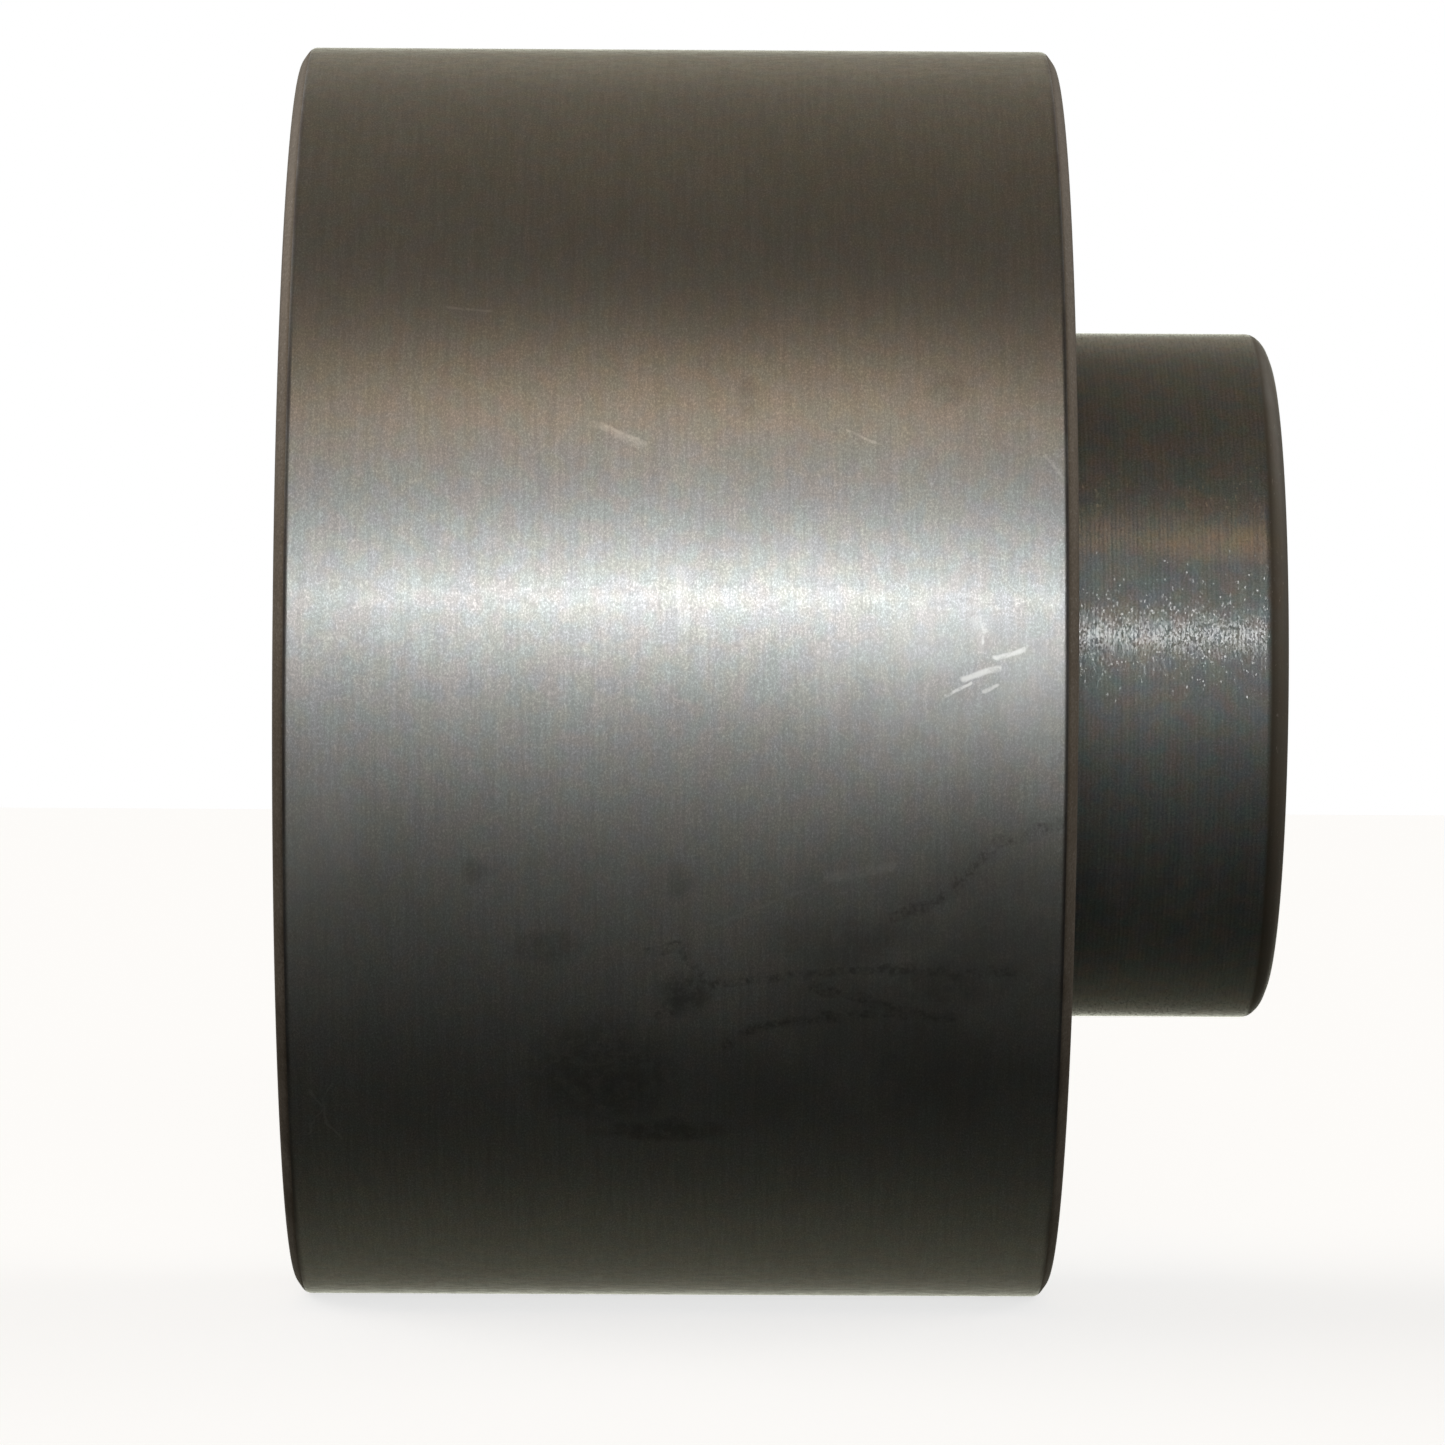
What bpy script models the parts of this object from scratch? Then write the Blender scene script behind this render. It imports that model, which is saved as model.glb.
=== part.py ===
"""Yoke-type cam follower with an extended hub: a caged two-row roller bearing.

The rollers, cages and outer ring turn about the Y axis. The origin is on that axis, in the
middle of the track. The hub sticks out towards +Y, and the plain side faces -Y.
"""

import math

import bmesh
import bpy
from mathutils import Matrix, Vector

MM = 0.001
INCH = 0.0254

# Driving dimensions
TRACK_DIAMETER = 2.5 * INCH
TRACK_WIDTH = 1.5 * INCH
HUB_DIAMETER = 1.375 * INCH
HUB_PROJECTION = 0.4375 * INCH
BORE_DIAMETER = 1.0 * INCH
PLAIN_SIDE_PROJECTION = INCH / 64
ROLLER_DIAMETER = 0.1875 * INCH
ROLLER_LENGTH = 0.4375 * INCH
INNER_RACE_DIAMETER = 8 * ROLLER_DIAMETER
ROLLERS_PER_ROW = 16
DRILLINGS = 2

# Broken edges, as a length along the axis and a depth towards it
TRACK_EDGE = (0.5 * MM, 0.7 * MM)
HUB_EDGE = (0.9 * MM, 1.4 * MM)
HUB_EDGE_KNEE = (0.6, 0.35)  # where the hub's edge steepens, as shares of that length and depth
BORE_CHAMFER = 0.8 * MM
SMALL_CHAMFER = 0.35 * MM

# Clearances
SEAT_GAP = 0.3 * MM
LIP_GAP = 0.1 * MM
ROLLER_GAP = 0.07 * MM
POCKET_GAP = 0.12 * MM
FLANGE_FLOAT = 0.2 * MM
CAGE_FLOAT = 0.05 * MM
HALF_CAGE_SPACING = 0.15 * MM
FACE_RECESS = 0.4 * MM

# Radii
TRACK_RADIUS = TRACK_DIAMETER / 2
HUB_RADIUS = HUB_DIAMETER / 2
BORE_RADIUS = BORE_DIAMETER / 2
INNER_RACE_RADIUS = INNER_RACE_DIAMETER / 2
PITCH_RADIUS = INNER_RACE_RADIUS + ROLLER_DIAMETER / 2
OUTER_RACE_RADIUS = INNER_RACE_RADIUS + ROLLER_DIAMETER
BOSS_RADIUS = 21.5 * MM
FLANGE_RADIUS = 25.5 * MM
FLANGE_POCKET_RADIUS = 26.0 * MM
SEAL_SEAT_RADIUS = 27.0 * MM
BORE_GROOVE_RADIUS = BORE_RADIUS + 1.0 * MM
CAGE_HALF_WALL = 1.35 * MM
DRILLING_RADIUS = 1.5 * MM

# Seal section
SEAL_HEEL_WALL = 1.5 * MM
SEAL_WEB = 0.9 * MM
LIP_FOOT = 0.9 * MM
LIP_ROOT = 1.2 * MM
LIP_TIP = 0.5 * MM
LIP_SETBACK = 0.6 * MM

# Distances along the axis from the middle of the track
TRACK_HALF = TRACK_WIDTH / 2
PLAIN_END = TRACK_HALF + PLAIN_SIDE_PROJECTION
HUB_END = TRACK_HALF + HUB_PROJECTION
OUTER_RACE_HALF = 14.0 * MM
FLANGE_INNER = OUTER_RACE_HALF + FLANGE_FLOAT
FLANGE_THICKNESS = 1.9 * MM
FLANGE_OUTER = FLANGE_INNER + FLANGE_THICKNESS
INNER_RACE_HALF = FLANGE_INNER - SEAT_GAP
POCKET_FLOOR = FLANGE_OUTER + SEAT_GAP
SEAL_INNER = POCKET_FLOOR + SEAT_GAP
SEAL_OUTER = TRACK_HALF - FACE_RECESS
CAGE_INNER = HALF_CAGE_SPACING
CAGE_OUTER = OUTER_RACE_HALF - CAGE_FLOAT
ROW_CENTRE = (CAGE_INNER + CAGE_OUTER) / 2
BORE_GROOVE_HALF = 2.0 * MM
ROLLER_END_BEVEL = 0.3 * MM

# Cutters reach this far through what they cut
DRILLING_LENGTH = 12 * MM
POCKET_DEPTH = 6 * MM

RING_SEGMENTS = 64
CAGE_SEGMENTS = 3 * ROLLERS_PER_ROW
ROLLER_SEGMENTS = 12
HOLE_SEGMENTS = 12
SHARP_ANGLE = math.radians(30)

Y_AXIS = Vector((0, 1, 0))


def clear_scene():
    for obj in list(bpy.data.objects):
        bpy.data.objects.remove(obj)


def make_material(name, colour, roughness, metallic=1.0):
    material = bpy.data.materials.new(name)
    material.use_nodes = True
    shader = material.node_tree.nodes["Principled BSDF"]
    shader.inputs["Base Color"].default_value = (*colour, 1.0)
    shader.inputs["Roughness"].default_value = roughness
    shader.inputs["Metallic"].default_value = metallic
    return material


def add_object(name, mesh, material, parent=None):
    """Link a mesh to the scene as a piece, shaded smooth with its sharp edges kept."""
    if not mesh.materials:
        mesh.materials.append(material)
    mesh.shade_smooth()
    mesh.set_sharp_from_angle(angle=SHARP_ANGLE)
    piece = bpy.data.objects.new(name, mesh)
    piece.parent = parent
    bpy.context.scene.collection.objects.link(piece)
    return piece


def add_axis(name):
    """An empty on the axis of rotation. The pieces that turn together hang from it."""
    axis = bpy.data.objects.new(name, None)
    axis.empty_display_size = BORE_RADIUS
    bpy.context.scene.collection.objects.link(axis)
    return axis


def mesh_from(bm, name):
    """Turn a bmesh into a mesh with its faces pointing out, and free the bmesh."""
    bmesh.ops.recalc_face_normals(bm, faces=bm.faces)
    mesh = bpy.data.meshes.new(name)
    bm.to_mesh(mesh)
    bm.free()
    return mesh


def turned_mesh(name, outline, segments=RING_SEGMENTS):
    """A ring: a closed outline of (distance along Y, radius) points, spun about Y."""
    bm = bmesh.new()
    points = [bm.verts.new((0, y, radius)) for y, radius in outline]
    edges = [bm.edges.new(pair) for pair in zip(points, points[1:] + points[:1])]
    bmesh.ops.spin(
        bm,
        geom=points + edges,
        cent=(0, 0, 0),
        axis=Y_AXIS,
        angle=2 * math.pi,
        steps=segments,
        use_merge=True,
    )
    return mesh_from(bm, name)


def mirrored(outline):
    """The same outline on the other side of the track's middle."""
    return [(-y, radius) for y, radius in reversed(outline)]


def on_side(outline, side):
    """An outline written for the hub side (+1), moved to the plain side (-1) if asked."""
    return outline if side > 0 else mirrored(outline)


def turns(count):
    """Rotations about Y that place a feature evenly round the axis."""
    for index in range(count):
        yield Matrix.Rotation(2 * math.pi * index / count, 4, Y_AXIS)


def cut(piece, cutter_mesh):
    """Take a shape out of a piece. The cutter stays in the file as a hidden helper."""
    cutter = bpy.data.objects.new(cutter_mesh.name, cutter_mesh)
    cutter.hide_render = True
    cutter.display_type = "WIRE"
    bpy.context.scene.collection.objects.link(cutter)
    modifier = piece.modifiers.new("cut", "BOOLEAN")
    modifier.operation = "DIFFERENCE"
    modifier.solver = "EXACT"
    modifier.object = cutter


def make_outer_ring(material, axis):
    """The thick-walled roller: track, raceway, and stepped seats for plate and seal."""
    length, depth = TRACK_EDGE
    half = [
        (OUTER_RACE_HALF, OUTER_RACE_RADIUS),
        (OUTER_RACE_HALF, FLANGE_POCKET_RADIUS),
        (POCKET_FLOOR, FLANGE_POCKET_RADIUS),
        (POCKET_FLOOR, SEAL_SEAT_RADIUS),
        (TRACK_HALF - SMALL_CHAMFER, SEAL_SEAT_RADIUS),
        (TRACK_HALF, SEAL_SEAT_RADIUS + SMALL_CHAMFER),
        (TRACK_HALF, TRACK_RADIUS - depth),
        (TRACK_HALF - length, TRACK_RADIUS),
    ]
    add_object("outer_ring", turned_mesh("outer_ring", half + mirrored(half)), material, axis)


def lubrication_drillings():
    """Radial oil holes between the rows, from the groove in the bore to the raceway."""
    middle = Matrix.Translation((0, 0, (BORE_RADIUS + INNER_RACE_RADIUS) / 2))
    bm = bmesh.new()
    for turn in turns(DRILLINGS):
        bmesh.ops.create_cone(
            bm,
            cap_ends=True,
            segments=HOLE_SEGMENTS,
            radius1=DRILLING_RADIUS,
            radius2=DRILLING_RADIUS,
            depth=DRILLING_LENGTH,
            matrix=turn @ middle,
        )
    return mesh_from(bm, "lubrication_drillings")


def make_inner_ring(material):
    """The ring that stays still: raceway, end plate seats, grooved bore, and the hub."""
    length, depth = HUB_EDGE
    knee_length, knee_depth = HUB_EDGE_KNEE
    outline = [
        (-PLAIN_END, BORE_RADIUS + BORE_CHAMFER),
        (-PLAIN_END, HUB_RADIUS - SMALL_CHAMFER),
        (-PLAIN_END + SMALL_CHAMFER, HUB_RADIUS),
        (-INNER_RACE_HALF, HUB_RADIUS),
        (-INNER_RACE_HALF, INNER_RACE_RADIUS),
        (INNER_RACE_HALF, INNER_RACE_RADIUS),
        (INNER_RACE_HALF, HUB_RADIUS),
        (HUB_END - length, HUB_RADIUS),
        (HUB_END - length + knee_length * length, HUB_RADIUS - knee_depth * depth),
        (HUB_END, HUB_RADIUS - depth),
        (HUB_END, BORE_RADIUS + BORE_CHAMFER),
        (HUB_END - BORE_CHAMFER, BORE_RADIUS),
        (BORE_GROOVE_HALF, BORE_RADIUS),
        (BORE_GROOVE_HALF, BORE_GROOVE_RADIUS),
        (-BORE_GROOVE_HALF, BORE_GROOVE_RADIUS),
        (-BORE_GROOVE_HALF, BORE_RADIUS),
        (-PLAIN_END + BORE_CHAMFER, BORE_RADIUS),
    ]
    ring = add_object("inner_ring", turned_mesh("inner_ring", outline), material)
    cut(ring, lubrication_drillings())


def make_end_plate(name, side, boss_end, material):
    """A hardened washer pressed on the inner ring. Its flange keeps the outer ring in line."""
    seat = HUB_RADIUS + SEAT_GAP
    outline = [
        (FLANGE_INNER, seat),
        (FLANGE_INNER, FLANGE_RADIUS),
        (FLANGE_OUTER, FLANGE_RADIUS),
        (FLANGE_OUTER, BOSS_RADIUS),
        (boss_end - SMALL_CHAMFER, BOSS_RADIUS),
        (boss_end, BOSS_RADIUS - SMALL_CHAMFER),
        (boss_end, seat + SMALL_CHAMFER),
        (boss_end - SMALL_CHAMFER, seat),
    ]
    add_object(name, turned_mesh(name, on_side(outline, side)), material)


def make_seal(name, side, material, axis):
    """A rubber lip seal pressed in the outer ring. Its lip runs on the end plate's boss."""
    seat = SEAL_SEAT_RADIUS - SEAT_GAP
    heel = seat - SEAL_HEEL_WALL
    web_face = SEAL_OUTER - SEAL_WEB
    lip = BOSS_RADIUS + LIP_GAP
    lip_back = SEAL_INNER + LIP_SETBACK
    outline = [
        (SEAL_INNER, seat),
        (SEAL_INNER, heel),
        (web_face, heel),
        (web_face, lip + LIP_ROOT),
        (lip_back, lip + LIP_TIP),
        (lip_back, lip),
        (web_face, lip),
        (SEAL_OUTER, lip + LIP_FOOT),
        (SEAL_OUTER, seat),
    ]
    add_object(name, turned_mesh(name, on_side(outline, side)), material, axis)


def pockets(side):
    """One box for each roller of a row, as deep as it takes to pierce the cage's wall."""
    width = ROLLER_DIAMETER + 2 * POCKET_GAP
    length = ROLLER_LENGTH + 2 * POCKET_GAP
    place = Matrix.Translation((0, side * ROW_CENTRE, PITCH_RADIUS))
    shape = Matrix.Diagonal((width, length, POCKET_DEPTH, 1))
    bm = bmesh.new()
    for turn in turns(ROLLERS_PER_ROW):
        bmesh.ops.create_cube(bm, size=1, matrix=turn @ place @ shape)
    return mesh_from(bm, "pockets_hub" if side > 0 else "pockets_plain")


def make_cage(name, side, material, axis):
    """A machined window cage, which keeps the rollers of one row apart."""
    outline = [
        (CAGE_INNER, PITCH_RADIUS - CAGE_HALF_WALL),
        (CAGE_INNER, PITCH_RADIUS + CAGE_HALF_WALL),
        (CAGE_OUTER, PITCH_RADIUS + CAGE_HALF_WALL),
        (CAGE_OUTER, PITCH_RADIUS - CAGE_HALF_WALL),
    ]
    mesh = turned_mesh(name, on_side(outline, side), CAGE_SEGMENTS)
    cage = add_object(name, mesh, material, axis)
    cut(cage, pockets(side))


def roller_mesh():
    """A cylindrical roller along Y with bevelled ends, centred on its own axis."""
    radius = ROLLER_DIAMETER / 2 - ROLLER_GAP
    bm = bmesh.new()
    bmesh.ops.create_cone(
        bm,
        cap_ends=True,
        segments=ROLLER_SEGMENTS,
        radius1=radius,
        radius2=radius,
        depth=ROLLER_LENGTH,
        matrix=Matrix.Rotation(math.pi / 2, 4, "X"),
    )
    rims = [edge for edge in bm.edges if edge.verts[0].co.y * edge.verts[1].co.y > 0]
    bmesh.ops.bevel(bm, geom=rims, offset=ROLLER_END_BEVEL, segments=1, affect="EDGES")
    return mesh_from(bm, "roller")


def make_roller_row(row, side, mesh, material, axis):
    """The rollers of one row, each with its origin on its own axis at the pitch radius."""
    first = Matrix.Translation((0, side * ROW_CENTRE, PITCH_RADIUS))
    for index, turn in enumerate(turns(ROLLERS_PER_ROW)):
        roller = add_object(f"roller_{row}_{index + 1:02d}", mesh, material, axis)
        roller.matrix_local = turn @ first


def main():
    clear_scene()
    track_steel = make_material("track_steel", (0.50, 0.49, 0.47), 0.35)
    hub_steel = make_material("hub_steel", (0.17, 0.175, 0.175), 0.40)
    plate_steel = make_material("plate_steel", (0.20, 0.20, 0.20), 0.45)
    roller_steel = make_material("roller_steel", (0.66, 0.66, 0.65), 0.15)
    cage_steel = make_material("cage_steel", (0.42, 0.40, 0.37), 0.45)
    seal_rubber = make_material("seal_rubber", (0.025, 0.025, 0.027), 0.6, metallic=0.0)

    outer_axis = add_axis("outer_ring_axis")
    make_inner_ring(hub_steel)
    make_outer_ring(track_steel, outer_axis)
    rollers = roller_mesh()
    for row, side, boss_end in (("plain", -1, PLAIN_END), ("hub", 1, SEAL_OUTER)):
        cage_axis = add_axis(f"cage_{row}_axis")
        make_end_plate(f"end_plate_{row}", side, boss_end, plate_steel)
        make_seal(f"seal_{row}", side, seal_rubber, outer_axis)
        make_cage(f"cage_{row}", side, cage_steel, cage_axis)
        make_roller_row(row, side, rollers, roller_steel, cage_axis)


main()
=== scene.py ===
"""The looks of a yoke-type cam follower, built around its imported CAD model.

Every ring is turned again here at a fine resolution, with the scallops that a lathe tool leaves.
Lengths are in metres. The axis of rotation is Y, and the hub points towards +Y.
"""

import math
import random
from collections import namedtuple

import bmesh
import bpy
import numpy as np
from mathutils import Matrix, Vector


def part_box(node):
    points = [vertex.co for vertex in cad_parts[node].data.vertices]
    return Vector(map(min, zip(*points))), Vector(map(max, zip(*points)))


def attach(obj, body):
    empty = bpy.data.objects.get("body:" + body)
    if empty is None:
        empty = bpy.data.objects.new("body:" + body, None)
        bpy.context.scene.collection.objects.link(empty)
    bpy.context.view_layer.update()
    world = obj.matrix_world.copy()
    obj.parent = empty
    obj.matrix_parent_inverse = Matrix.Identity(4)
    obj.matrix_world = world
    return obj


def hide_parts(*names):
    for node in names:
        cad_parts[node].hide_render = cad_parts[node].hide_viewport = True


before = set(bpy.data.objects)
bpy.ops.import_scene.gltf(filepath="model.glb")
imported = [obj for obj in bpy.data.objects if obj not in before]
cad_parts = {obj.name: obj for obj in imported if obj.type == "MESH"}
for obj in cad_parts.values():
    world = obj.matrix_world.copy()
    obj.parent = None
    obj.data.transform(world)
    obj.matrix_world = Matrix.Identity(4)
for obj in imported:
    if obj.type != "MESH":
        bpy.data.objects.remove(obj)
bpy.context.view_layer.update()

MM = 0.001
SEED = 5

# Small sizes inside the roller
LEAD_IN = 0.35 * MM
SEAT_GAP = 0.3 * MM
PRESS_GAP = 0.03 * MM
ROLLER_CLEARANCE = 0.012 * MM
FLANGE_THICKNESS = 1.9 * MM
FLANGE_CLEARANCE = 0.5 * MM
OUTER_RACE_RELIEF = 0.2 * MM
INNER_RACE_RELIEF = 0.05 * MM
BORE_GROOVE_DEPTH = 1.0 * MM
BORE_GROOVE_HALF = 2.0 * MM
OIL_HOLE_RADIUS = 1.5 * MM

# How far along the axis the hub's turning tool moves in one turn
HUB_FEED = 0.2117 * MM

# Sizes read from the frame
TRACK_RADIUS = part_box("outer_ring")[1].z
TRACK_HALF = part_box("outer_ring")[1].y
PLAIN_END = -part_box("inner_ring")[0].y
HUB_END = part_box("inner_ring")[1].y
INNER_RACE_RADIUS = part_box("inner_ring")[1].z
FLANGE_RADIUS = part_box("end_plate_hub")[1].z
FLANGE_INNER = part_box("end_plate_hub")[0].y
PLATE_HUB_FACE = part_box("end_plate_hub")[1].y
SEAL_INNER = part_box("seal_hub")[0].y
SEAL_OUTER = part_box("seal_hub")[1].y
ROLLER_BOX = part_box("roller_hub_01")
CAGE_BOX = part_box("cage_hub")
PITCH_RADIUS = (ROLLER_BOX[0].z + ROLLER_BOX[1].z) / 2
ROW_CENTRE = (ROLLER_BOX[0].y + ROLLER_BOX[1].y) / 2
ROLLER_LENGTH = ROLLER_BOX[1].y - ROLLER_BOX[0].y
ROLLER_RADIUS = PITCH_RADIUS - INNER_RACE_RADIUS - ROLLER_CLEARANCE
OUTER_RACE_RADIUS = 2 * PITCH_RADIUS - INNER_RACE_RADIUS
ROLLERS_PER_ROW = sum(name.startswith("roller_hub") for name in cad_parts)

RING_SEGMENTS = 256
CAGE_SEGMENTS = 12 * ROLLERS_PER_ROW
ROLLER_SEGMENTS = 40
FILLET_STEPS = 6
GROOVE_STEPS = 4
SHALLOWEST_GROOVE = 0.5
CUSP_ANGLE = math.radians(12)

# How a stretch of a turned outline is finished: its material slot, and the feed of the tool and
# the depth of the grooves that it leaves
Finish = namedtuple("Finish", "slot feed depth", defaults=(0.0, 0.0))


def radius_between(node, low, high, largest=True):
    """The largest or smallest radius of a CAD node's corners between two distances along Y."""
    hair = 0.001 * MM
    radii = [
        math.hypot(v.co.x, v.co.z)
        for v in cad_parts[node].data.vertices
        if low - hair <= v.co.y <= high + hair
    ]
    return max(radii) if largest else min(radii)


def reach_at(node, radius):
    """How far along Y a CAD node's corners at a radius go."""
    hair = 0.01 * MM
    return max(
        v.co.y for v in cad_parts[node].data.vertices
        if abs(math.hypot(v.co.x, v.co.z) - radius) < hair
    )


HUB_RADIUS = radius_between("inner_ring", TRACK_HALF, HUB_END)
BORE_RADIUS = radius_between("inner_ring", TRACK_HALF, HUB_END, largest=False)
GROOVE_RADIUS = BORE_RADIUS + BORE_GROOVE_DEPTH
BOSS_RADIUS = radius_between("end_plate_hub", SEAL_INNER, TRACK_HALF)
SEAL_SEAT_RADIUS = radius_between("outer_ring", TRACK_HALF, TRACK_HALF, largest=False) - LEAD_IN
POCKET_RADIUS = FLANGE_RADIUS + FLANGE_CLEARANCE
OUTER_RACE_HALF = FLANGE_INNER - OUTER_RACE_RELIEF
INNER_RACE_HALF = FLANGE_INNER - INNER_RACE_RELIEF
FLANGE_OUTER = FLANGE_INNER + FLANGE_THICKNESS
POCKET_FLOOR = SEAL_INNER - SEAT_GAP
TRACK_EDGE_LENGTH = TRACK_HALF - reach_at("outer_ring", TRACK_RADIUS)
TRACK_EDGE_DEPTH = TRACK_RADIUS - radius_between("outer_ring", TRACK_HALF, TRACK_HALF)
HUB_EDGE_LENGTH = HUB_END - reach_at("inner_ring", HUB_RADIUS)
HUB_EDGE_DEPTH = HUB_RADIUS - radius_between("inner_ring", HUB_END, HUB_END)


# ---------------------------------------------------------------- turned shapes


def grooved(start, end, finish, chance):
    """Points from start up to end, which is left out, with hollows cut into the material."""
    along = end - start
    inward = Vector((along.y, -along.x)).normalized()
    count = max(1, round(along.length / finish.feed)) if finish.feed else 1
    steps = GROOVE_STEPS if finish.feed else 1
    for index in range(count):
        depth = finish.depth * chance.uniform(SHALLOWEST_GROOVE, 1.0)
        for step in range(steps):
            share = step / steps
            hollow = depth * 4 * share * (1 - share)
            point = start + along * ((index + share) / count) + inward * hollow
            yield (point.x, point.y, finish.slot)


def profile(corners, chance):
    """A closed outline of (y, radius, slot) points, for turning about Y.

    Each corner is (y, radius, fillet, finish), and the finish is that of the stretch after it.
    A fillet is half in the finish before it and half in the one after.
    """
    outline = []
    for index, (y, radius, fillet, finish) in enumerate(corners):
        corner = Vector((y, radius))
        before = corners[index - 1][3]
        following = corners[(index + 1) % len(corners)]
        to_before = (Vector(corners[index - 1][:2]) - corner).normalized()
        to_after = (Vector(following[:2]) - corner).normalized()
        for step in range(FILLET_STEPS if fillet else 0):
            share = step / FILLET_STEPS
            point = corner + fillet * ((1 - share) ** 2 * to_before + share**2 * to_after)
            slot = before.slot if share < 0.5 else finish.slot
            outline.append((point.x, point.y, slot))
        start = corner + fillet * to_after
        end = Vector(following[:2]) - following[2] * to_after
        outline.extend(grooved(start, end, finish, chance))
    return outline


def turn_outline(name, outline, materials, segments=RING_SEGMENTS, sharp=CUSP_ANGLE):
    """A ring: a closed outline of (y, radius, slot) points, turned about Y."""
    points = np.array([(y, radius) for y, radius, _ in outline])
    count = len(points)
    angles = np.linspace(0, 2 * math.pi, segments, endpoint=False)
    corners = np.empty((segments, count, 3))
    corners[:, :, 0] = np.sin(angles)[:, None] * points[None, :, 1]
    corners[:, :, 1] = points[None, :, 0]
    corners[:, :, 2] = np.cos(angles)[:, None] * points[None, :, 1]
    here = np.arange(segments)[:, None] * count + np.arange(count)[None, :]
    beside = np.roll(here, -1, axis=0)
    ahead = np.roll(here, -1, axis=1)
    across = np.roll(beside, -1, axis=1)
    quads = np.stack([here, beside, across, ahead], axis=2).reshape(-1, 4)
    mesh = bpy.data.meshes.new(name)
    mesh.from_pydata(corners.reshape(-1, 3).tolist(), [], quads.tolist())
    for material in materials:
        mesh.materials.append(material)
    slots = np.tile(np.array([slot for _, _, slot in outline], np.int32), segments)
    mesh.polygons.foreach_set("material_index", slots)
    mesh.shade_smooth()
    mesh.set_sharp_from_angle(angle=sharp)
    piece = bpy.data.objects.new(name, mesh)
    bpy.context.scene.collection.objects.link(piece)
    return piece


def on_side(outline, side):
    """An outline written for the hub side (+1), mirrored to the plain side (-1) if asked."""
    if side > 0:
        return outline
    points = [(-y, radius) for y, radius, _ in reversed(outline)]
    slots = [slot for _, _, slot in reversed(outline)]
    return [(*point, slot) for point, slot in zip(points, slots[1:] + slots[:1])]


def finish_piece(piece, body, slot, *nodes):
    """Attach a piece to the body that it moves with, and hide the CAD nodes that it stands for. The slot
    is not used.
    """
    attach(piece, body)
    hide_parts(*nodes)


# ---------------------------------------------------------------- material nodes


class Nodes:
    """A short way to write a node tree: most calls add one node and return its output."""

    def __init__(self, tree):
        self.tree = tree

    def add(self, kind, inputs=(), **settings):
        """Add a node with its settings and inputs, and return the node itself."""
        node = self.tree.nodes.new(kind)
        for key, value in settings.items():
            setattr(node, key, value)
        for key, value in dict(inputs).items():
            self.feed(node.inputs[key], value)
        return node

    def feed(self, socket, value):
        """Link another node's output to a socket, or set the socket's own value."""
        if isinstance(value, bpy.types.NodeSocket):
            self.tree.links.new(value, socket)
        else:
            socket.default_value = value

    def math(self, operation, first, second=0.0, third=0.0):
        """Arithmetic on up to three numbers."""
        inputs = {0: first, 1: second, 2: third}
        return self.add("ShaderNodeMath", inputs, operation=operation).outputs[0]

    def vector(self, operation, first, second=(0.0, 0.0, 0.0), output="Vector"):
        """Arithmetic on one or two vectors."""
        inputs = {0: first, 1: second}
        return self.add("ShaderNodeVectorMath", inputs, operation=operation).outputs[output]

    def scaled(self, vector, scale):
        """A vector times a number."""
        inputs = {0: vector, "Scale": scale}
        return self.add("ShaderNodeVectorMath", inputs, operation="SCALE").outputs[0]

    def noise(self, place, scale, detail=3.0, roughness=0.5):
        """Smooth noise from 0 to 1, mostly near 0.5. Its grain is about 1 / scale across."""
        inputs = {"Vector": place, "Scale": scale, "Detail": detail, "Roughness": roughness}
        return self.add("ShaderNodeTexNoise", inputs).outputs["Fac"]

    def range(self, value, low, high, to_low=0.0, to_high=1.0):
        """Maps low to to_low and high to to_high, smoothly and clamped."""
        inputs = {
            "Value": value,
            "From Min": low,
            "From Max": high,
            "To Min": to_low,
            "To Max": to_high,
        }
        node = self.add("ShaderNodeMapRange", inputs, interpolation_type="SMOOTHSTEP")
        return node.outputs["Result"]

    def colour(self, share, first, second, blend="MIX"):
        """The first colour, blended with the second by a share."""
        node = self.add("ShaderNodeMix", data_type="RGBA", blend_type=blend)
        self.feed(node.inputs[0], share)
        for socket, value in ((node.inputs[6], first), (node.inputs[7], second)):
            self.feed(socket, (*value, 1.0) if isinstance(value, tuple) else value)
        return node.outputs[2]

    def stretched(self, place, around, along):
        """A position scaled one way along the axis and another across it, to make streaks."""
        return self.vector("MULTIPLY", place, (around, along, around))

    def bump(self, height, strength, distance, normal=None):
        """A normal that follows a height, added to another bump where one is given."""
        inputs = {"Height": height, "Strength": strength, "Distance": distance}
        if normal is not None:
            inputs["Normal"] = normal
        return self.add("ShaderNodeBump", inputs).outputs["Normal"]


class Material(Nodes):
    """A new material's nodes, round its Principled shader."""

    def __init__(self, name):
        self.material = bpy.data.materials.new(name)
        self.material.use_nodes = True
        super().__init__(self.material.node_tree)
        self.shader = self.tree.nodes["Principled BSDF"]

    def set(self, socket, value):
        """Give one of the shader's sockets a value, or another node's output."""
        self.feed(self.shader.inputs[socket], value)


def place_on_ring(nodes):
    """Position, distance along the axis, arc length round the track, and radius."""
    place = nodes.add("ShaderNodeTexCoord").outputs["Object"]
    split = nodes.add("ShaderNodeSeparateXYZ", {0: place})
    angle = nodes.math("ARCTAN2", split.outputs["Z"], split.outputs["X"])
    arc = nodes.math("MULTIPLY", angle, TRACK_RADIUS)
    flat_x = nodes.math("MULTIPLY", split.outputs["X"], split.outputs["X"])
    radius_squared = nodes.math("MULTIPLY_ADD", split.outputs["Z"], split.outputs["Z"], flat_x)
    radius = nodes.math("SQRT", radius_squared)
    return place, split.outputs["Y"], arc, radius


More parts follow.
